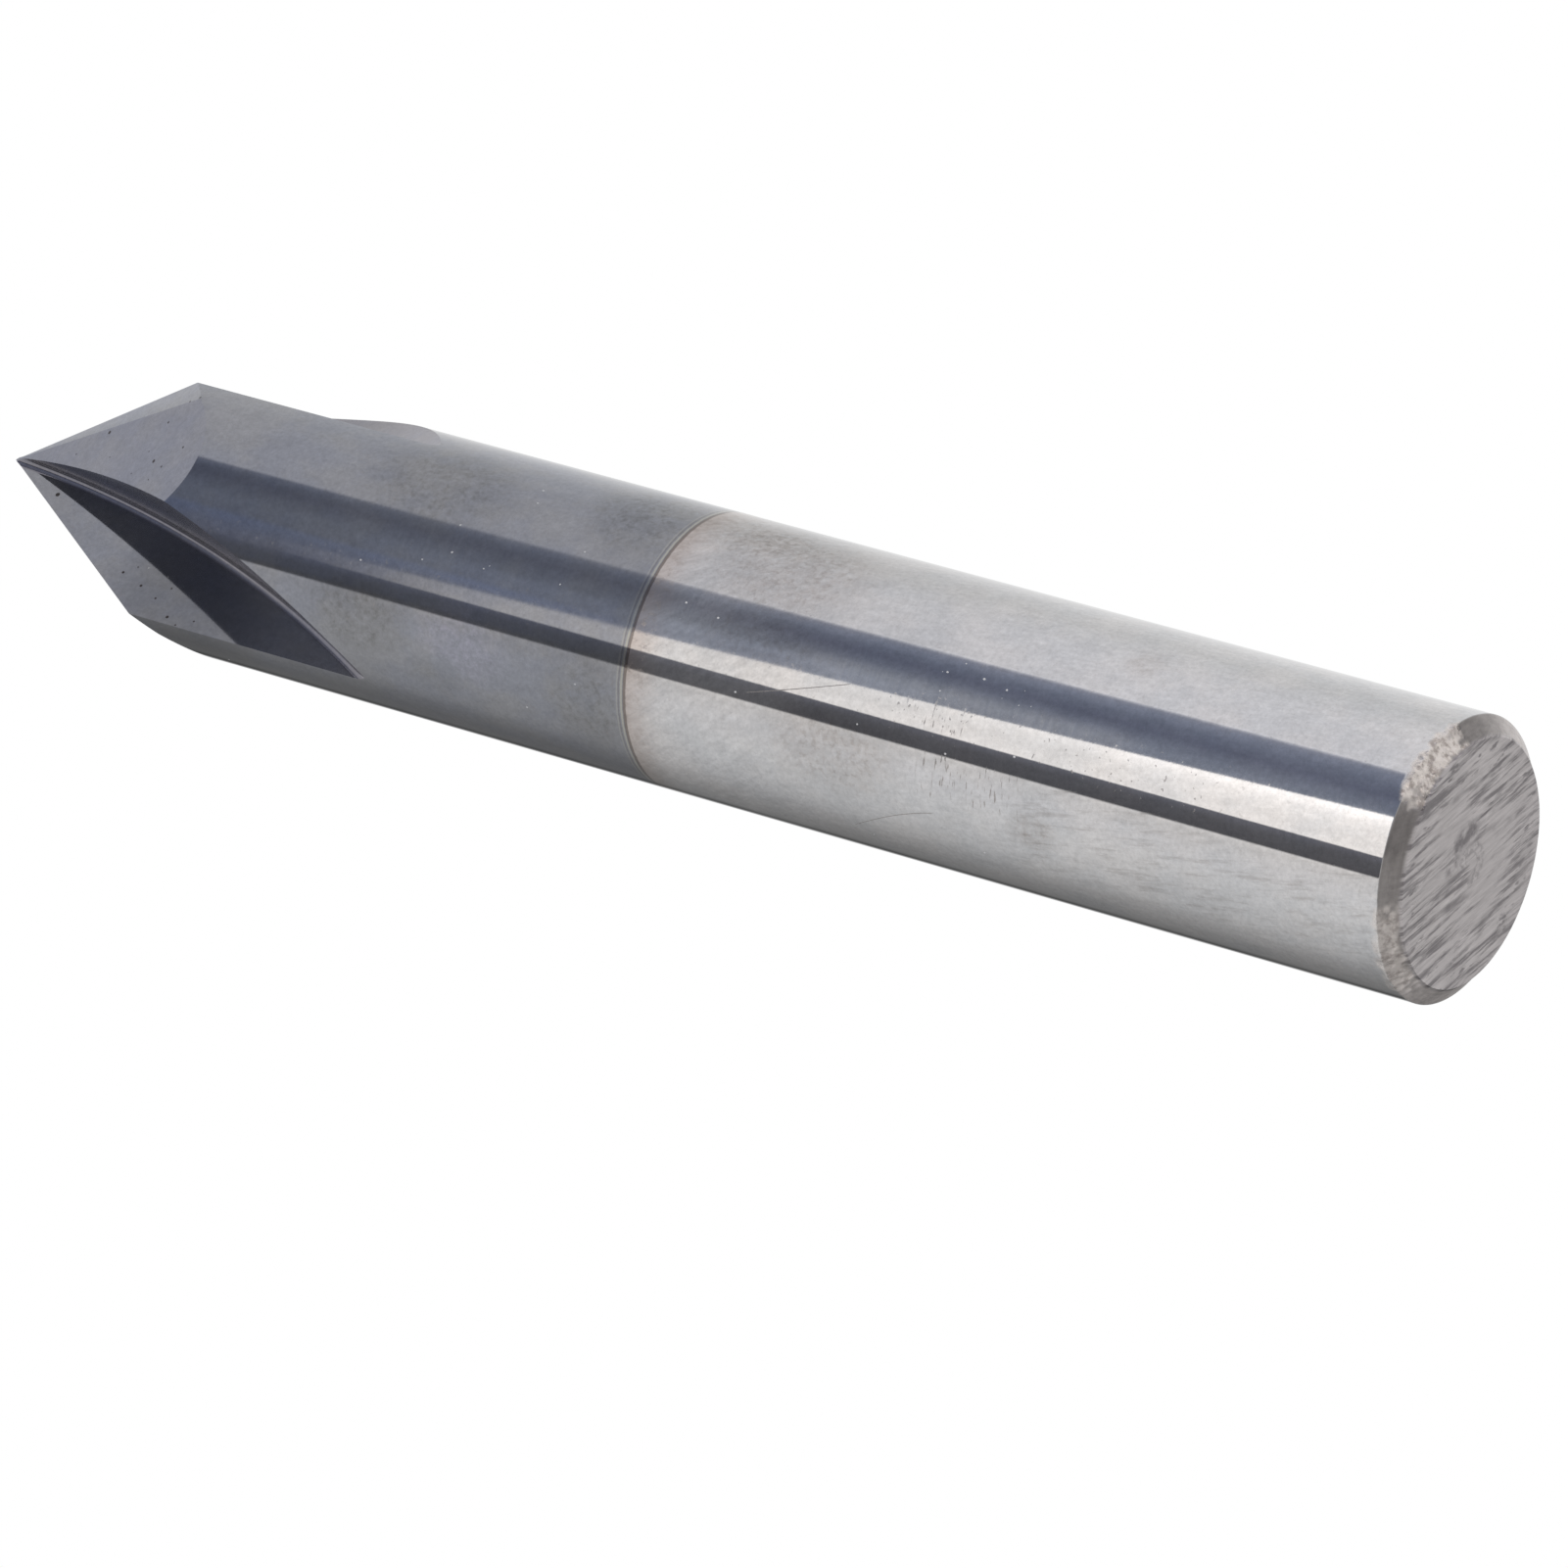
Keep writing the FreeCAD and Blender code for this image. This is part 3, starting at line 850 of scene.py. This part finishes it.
shankEnd = {
    "sawSlip": 0.5,  # how fast the streaks change down the chamfer
    "gougeLevels": (0.46, 0.62),
    "patchLevels": (0.38, 0.62),
    "outer": (2.4, 5.0),  # reach over which the gouges grow denser
    "outerShare": 0.16,
    "low": ((-0.53, -0.85), 2, 5),  # and on one side: its direction and reach
    "lowShare": 0.14,
    "stubLevels": (0.56, 0.68),
    "stubReach": (2.6, 4.4),
    "stubStrength": 0.9,
    "reliefEnd": (4.7, 5.15),
    "faceEnd": (0.02, 0.16),  # heights over which the sawn look ends
    "faceWaver": 0.10,
    "chamferEnd": (0.66, 0.72),
    "gougeShare": 0.80,
    "nub": (0.5, 0.85, 0.22),  # reach and fade of the ring round the middle
    "nubLevels": (0.42, 0.60),
    "nubShare": 0.45,
    "arc": (1.3, 1.7, 0.5),  # of the darker arc beside it
    "arcSide": ((0.85, -0.53), 0.3, 0.8),
    "arcLevels": (0.40, 0.62),
    "arcShares": (0.1, 0.7),
    "sawnTone": (0.46, 0.72, 0.36),  # even, fine streaks, patches
    "chamferTone": (0.34, 0.60, 0.52),  # even, rings, mottle
    "chamferGouges": 0.15,
    # sides of the chamfer with painted light: direction, cosines, strength
    "paintedLight": [((0.90, 0.44), 0.1, 0.9, 0.35), ((-0.95, -0.31), 0.7, 0.93, 1.33),
               ((0.60, 0.80), 0.8, 1, 0.945)],
    # spots of painted shade on the chamfer: place, reach, strength
    "paintedShade": [((5.6, 0.3, 0.4), 2, 0.5), ((2.9, -4.8, 0.4), 1.8, 0.25)],
    "rubbleLevels": (0.34, 0.56),
    "rubbleHidden": 0.7,  # share of it that doesn't show on the face
}


def readShankEnd(g, skin):
    # masks and streaks of the sawn face, the chamfer and the chips
    along = reachToward(skin, (math.cos(bar["sawAngle"]), math.sin(bar["sawAngle"])))
    across = reachToward(skin, (-math.sin(bar["sawAngle"]), math.cos(bar["sawAngle"])))
    sawPlace = {"X": across, "Y": along, "Z": skin.z * shankEnd["sawSlip"]}
    sawPlace = g.add("ShaderNodeCombineXYZ", {}, sawPlace)
    end = SimpleNamespace(fineSaw=g.noise(sawPlace, *textures["fineSaw"]))
    end.patches = g.noise(sawPlace, *textures["sawPatches"])
    direction, start, full = shankEnd["low"]
    dense = shankEnd["outerShare"] * g.step(skin.reach, *shankEnd["outer"])
    dense = dense + shankEnd["lowShare"] * g.step(reachToward(skin, direction), start, full)
    gouges = g.step(g.noise(sawPlace, *textures["broadSaw"]), *shankEnd["gougeLevels"])
    gouges = gouges * g.step(end.patches + dense, *shankEnd["patchLevels"])
    stubs = g.step(g.noise(sawPlace, *textures["stubs"]), *shankEnd["stubLevels"])
    stubs = stubs * g.step(skin.reach, *shankEnd["stubReach"]) * shankEnd["stubStrength"]
    end.gouges = g.most(gouges, stubs)
    end.relief = 1 - g.step(skin.reach, *shankEnd["reliefEnd"])
    end.relief = end.relief * (1 - g.step(skin.z, *shankEnd["faceEnd"]))
    end.rings = g.noise(skin.place, *textures["rings"])
    wavy = skin.z + shankEnd["faceWaver"] * (end.fineSaw - 0.5)
    end.onFace = 1 - g.step(wavy, *shankEnd["faceEnd"])
    end.onEnd = 1 - g.step(skin.z, *shankEnd["chamferEnd"])
    end.worked = g.most(end.onEnd, skin.broken)
    return end


def sawnColour(g, skin, end):
    nub = g.band(skin.reach, *shankEnd["nub"]) * g.step(skin.mottle, *shankEnd["nubLevels"])
    even, patched = shankEnd["arcShares"]
    arc = g.band(skin.reach, *shankEnd["arc"]) * sideMask(g, skin, *shankEnd["arcSide"])
    arc = arc * (even + patched * g.step(skin.patch, *shankEnd["arcLevels"]))
    dark = g.most(end.gouges * shankEnd["gougeShare"], nub * shankEnd["nubShare"], arc)
    even, streaked, patched = shankEnd["sawnTone"]
    sawn = g.mix(dark, finish["sawn"], finish["sawnDark"])
    return g.tint(sawn, even + streaked * end.fineSaw + patched * end.patches)


def chamferColour(g, skin, end):
    # painted light on some sides of the chamfer, and painted shade in spots
    paintedLight = g.most(*(sideMask(g, skin, direction, start, full) * strength
                      for direction, start, full, strength in shankEnd["paintedLight"]))
    paintedShade = sum(g.spot(skin.place, place, (reach,) * 3) * strength
               for place, reach, strength in shankEnd["paintedShade"])
    even, ringed, mottled = shankEnd["chamferTone"]
    chamfer = g.mix(end.gouges * shankEnd["chamferGouges"], finish["chamfer"], finish["sawnDark"])
    tone = even + ringed * end.rings + mottled * skin.mottle
    return g.tint(chamfer, tone * (1 + paintedLight - paintedShade))


def makeFinish():
    material = bpy.data.materials.new("ground_carbide_finish")
    material.use_nodes = True
    g = Graph(material.node_tree)
    skin = readSkin(g)
    end = readShankEnd(g, skin)
    stained = stainMask(g, skin)
    dashes = g.most(dashMask(g, skin), scratchMask(g, skin))
    dust = dustMask(g, skin) * finish["dustShare"]
    bareShare = 1 - skin.coated

    base = g.mix(end.onEnd, groundColour(g, skin, stained, dashes), chamferColour(g, skin, end))
    base = g.mix(end.onFace, base, sawnColour(g, skin, end))
    rubble = g.step(skin.mottle, *shankEnd["rubbleLevels"])
    rubble = g.mix(rubble, finish["brokenDark"], finish["broken"])
    base = g.mix(skin.broken * (1 - shankEnd["rubbleHidden"] * end.onFace), base, rubble)
    base = g.mix(dust, base, finish["dust"])

    rough = finish["bareRoughness"] + (finish["coatRoughness"] - finish["bareRoughness"]) * skin.coated
    rough = rough + finish["wornRoughness"] * g.step(skin.z, *finish["wornStretch"]) * bareShare
    rough = rough + (finish["fluteRoughness"] - rough) * skin.fluted
    rough = rough + finish["mottleRoughness"] * (skin.mottle - 0.5) + finish["stainRoughness"] * stained
    rough = rough + (finish["markRoughness"] - rough) * dashes
    rough = rough + (finish["workedRoughness"] - rough) * end.worked
    rough = rough + (1 - rough) * dust

    metal = 1 - (1 - finish["coatMetal"]) * skin.coated - finish["filmDulling"] * filmMask(g, skin)
    reach = finish["seamReach"]
    nearSeam = g.band(skin.z - finish["coatingStart"], -reach, 0, reach) * bareShare
    metal = metal - finish["seamDulling"] * nearSeam - finish["brokenDulling"] * skin.broken
    metal = metal * (1 - finish["dustDulling"] * dust)

    height = finish["grainHeight"] * skin.grain * (1 - finish["fluteSmoothing"] * skin.fluted)
    streaks = finish["sawHeight"] * end.fineSaw - finish["gougeDepth"] * end.gouges
    height = height + end.relief * streaks
    lumps = finish["chamferLumps"] * (end.onEnd - end.onFace) + finish["brokenLumps"] * skin.broken
    height = height + lumps * skin.mottle
    bump = g.add("ShaderNodeBump", {}, {
        "Strength": 1.0, "Distance": finish["bumpUnit"], "Height": height})
    surface = g.add("ShaderNodeBsdfPrincipled", {}, {
        "Base Color": base, "Metallic": metal, "Roughness": rough, "Normal": bump})
    g.add("ShaderNodeOutputMaterial", {}, {"Surface": surface})
    return material


tool.data.materials.clear()
tool.data.materials.append(makeFinish())
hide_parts(toolNode)
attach(tool, "root")
print("finish: ground carbide, bare and coated")


camera = {
    "place": (166.54 * mm, -311.90 * mm, -188.83 * mm),
    "aim": (-3.912 * mm, -2.153 * mm, 32.158 * mm),
    "roll": math.radians(-74.103),
    "lens": 229.91,
    "clip": (0.02, 20),
}


def makeCamera():
    data = bpy.data.cameras.new("camera")
    data.lens = camera["lens"]
    data.clip_start, data.clip_end = camera["clip"]
    made = bpy.data.objects.new("camera", data)
    place = Vector(camera["place"])
    facing = (Vector(camera["aim"]) - place).to_track_quat("-Z", "Y").to_matrix().to_4x4()
    made.matrix_world = Matrix.Translation(place) @ facing @ Matrix.Rotation(camera["roll"], 4, "Z")
    bpy.context.scene.collection.objects.link(made)
    bpy.context.scene.camera = made


room = {  # angles in degrees, azimuths counted from the front
    "front": -61.9,  # azimuth of the camera's side of the tent
    "plain": 0.80,
    # elevations over which a layer of the tent takes over, colour
    "layers": [(50, 62, (0.93, 0.93, 0.945)), (66, 73, (0.79, 0.79, 0.85)),
               (-40, -55, (0.62, 0.62, 0.62))],
    "strip": (-14.0, 19.4, 28.3, -3.93),  # azimuths of its edges, and how the upper one slants
    "stripSoft": 0.6,
    "stripLimit": 24,  # azimuth that the slanted edge doesn't pass
    "stripEnd": (33.7, 35.0),  # elevations over which it fades out
    "stripColour": (1.30, 1.255, 1.215),
    "stripGlow": (0.012, 0.0008),  # more light per degree, and per degree squared
    "haze": ((3, 12, 9), (32.0, 34.0, 1.0), 0.38),  # its azimuths, elevations and strength
    "bluish": (1.02, 1.10, 1.28),  # cast of the gap where the coating mirrors it
    "bluishZone": ((-24, 2, 6), (32.9, 33.6)),  # its azimuths, elevations over which it starts
    "lean": (-1.6, 29.1),  # slant of the gap's upper edge, elevation where it stands as given
    "leaning": (46, 56, 12),  # azimuths that lean
    "wall": [(-180, (0.90, 0.90, 0.90)), (-162, (0.06, 0.06, 0.06)), (-152, (0.20, 0.20, 0.20)),
             (-136, (0.27, 0.27, 0.27)), (-120, (0.39, 0.39, 0.39)), (-104, (0.59, 0.59, 0.59)),
             (-88, (0.72, 0.72, 0.72)), (-68, (0.84, 0.84, 0.84)), (-48, (0.88, 0.878, 0.885)),
             (-34, (0.86, 0.845, 0.835)), (-30.6, (0.95, 0.93, 0.91)), (-29.6, (0.115, 0.115, 0.125)),
             (-20, (0.135, 0.136, 0.15)), (-12, (0.21, 0.215, 0.255)), (2, (0.25, 0.275, 0.345)),
             (18, (0.285, 0.315, 0.39)), (33, (0.165, 0.182, 0.25)), (42, (0.20, 0.225, 0.30)),
             (49, (0.28, 0.31, 0.40)), (53.2, (0.36, 0.38, 0.46)), (54.0, (0.98, 0.98, 1.03)),
             (56, (0.90, 0.895, 0.925)), (90, (0.92, 0.915, 0.935)), (120, (0.82, 0.82, 0.82)),
             (150, (0.91, 0.91, 0.91)), (180, (0.90, 0.90, 0.90))],
}


def stripMask(g, azimuth, elevation):
    # the strip lamp: a straight lower edge and a slanted upper one
    low, high, level, slant = room["strip"]
    soft = room["stripSoft"]
    upper = high + (elevation - level) * slant
    upper = upper.maths("MINIMUM", upper, room["stripLimit"])
    inside = g.step(azimuth, low - soft, low + soft) * (1 - g.step(azimuth - upper, -soft, soft))
    return inside * (1 - g.step(elevation, *room["stripEnd"]))


def makeRoom():
    # a white tent with a dark gap on the camera's side and a strip lamp in the gap
    world = bpy.data.worlds.new("tent")
    bpy.context.scene.world = world
    world.use_nodes = True
    g = Graph(world.node_tree)
    direction = g.add("ShaderNodeTexCoord", {}, {}, "Generated")
    x, y, z = (g.axis(direction, name) for name in "XYZ")
    front = math.radians(room["front"])
    ahead = x * math.cos(front) + y * math.sin(front)
    aside = y * math.cos(front) - x * math.sin(front)
    azimuth = aside.maths("ARCTAN2", aside, ahead) * math.degrees(1)
    elevation = z.maths("ARCSINE", z) * math.degrees(1)
    stops = [((angle + 180) / 360, colour) for angle, colour in room["wall"]]
    slant, level = room["lean"]
    leaning = azimuth - slant * (elevation - level) * g.band(azimuth, *room["leaning"])
    tent = g.add("ShaderNodeValToRGB", {"stops": stops}, {"Fac": (leaning + 180) / 360})
    azimuths, elevations, strength = room["haze"]
    tent = g.tint(tent, 1 + strength * g.band(azimuth, *azimuths) * g.band(elevation, *elevations))
    azimuths, elevations = room["bluishZone"]
    bluish = g.band(azimuth, *azimuths) * g.step(elevation, *elevations)
    tent = g.mix(bluish, tent, g.stretch(tent, room["bluish"]))
    linear, squared = room["stripGlow"]
    glow = 1 + linear * azimuth + squared * azimuth * azimuth
    tent = g.mix(stripMask(g, azimuth, elevation), tent, g.tint(room["stripColour"], glow))
    for start, end, colour in room["layers"]:
        tent = g.mix(g.step(elevation, start, end), tent, colour)
    isCamera = g.add("ShaderNodeLightPath", {}, {}, "Is Camera Ray")
    isGlossy = g.add("ShaderNodeLightPath", {}, {}, "Is Glossy Ray")
    seen = g.mix(isGlossy, (room["plain"],) * 3, tent)
    seen = g.mix(isCamera, seen, (1, 1, 1))
    background = g.add("ShaderNodeBackground", {}, {"Color": seen})
    g.add("ShaderNodeOutputWorld", {}, {"Surface": background})


floor = {
    "drop": 0.05 * mm,
    "half": 2.0,
    "colour": (0.88, 0.88, 0.88, 1),
}


def makeFloor():
    # a pale plane seen from above only, so that the low camera looks past it
    half = floor["half"]
    points = np.array([(-half, -half, 0), (half, -half, 0), (half, half, 0), (-half, half, 0)])
    points[:, 2] = -floor["drop"]
    made = makeObject("floor", points, [[0, 1, 2, 3]])
    if made.data.polygons[0].normal.z < 0:
        made.data.flip_normals()
    material = bpy.data.materials.new("pale_floor")
    material.use_nodes = True
    g = Graph(material.node_tree)
    pale = g.add("ShaderNodeBsdfDiffuse", {}, {"Color": floor["colour"]})
    clear = g.add("ShaderNodeBsdfTransparent", {}, {})
    below = g.add("ShaderNodeNewGeometry", {}, {}, "Backfacing")
    seen = g.add("ShaderNodeMixShader", {}, {0: below, 1: pale, 2: clear})
    g.add("ShaderNodeOutputMaterial", {}, {"Surface": seen})
    made.data.materials.append(material)
    made.visible_diffuse = False
    made.visible_glossy = False
    made.visible_transmission = False
    made.visible_shadow = False


makeCamera()
makeRoom()
makeFloor()
bpy.context.scene.view_settings.view_transform = "Standard"
print("room: camera, tent and floor")
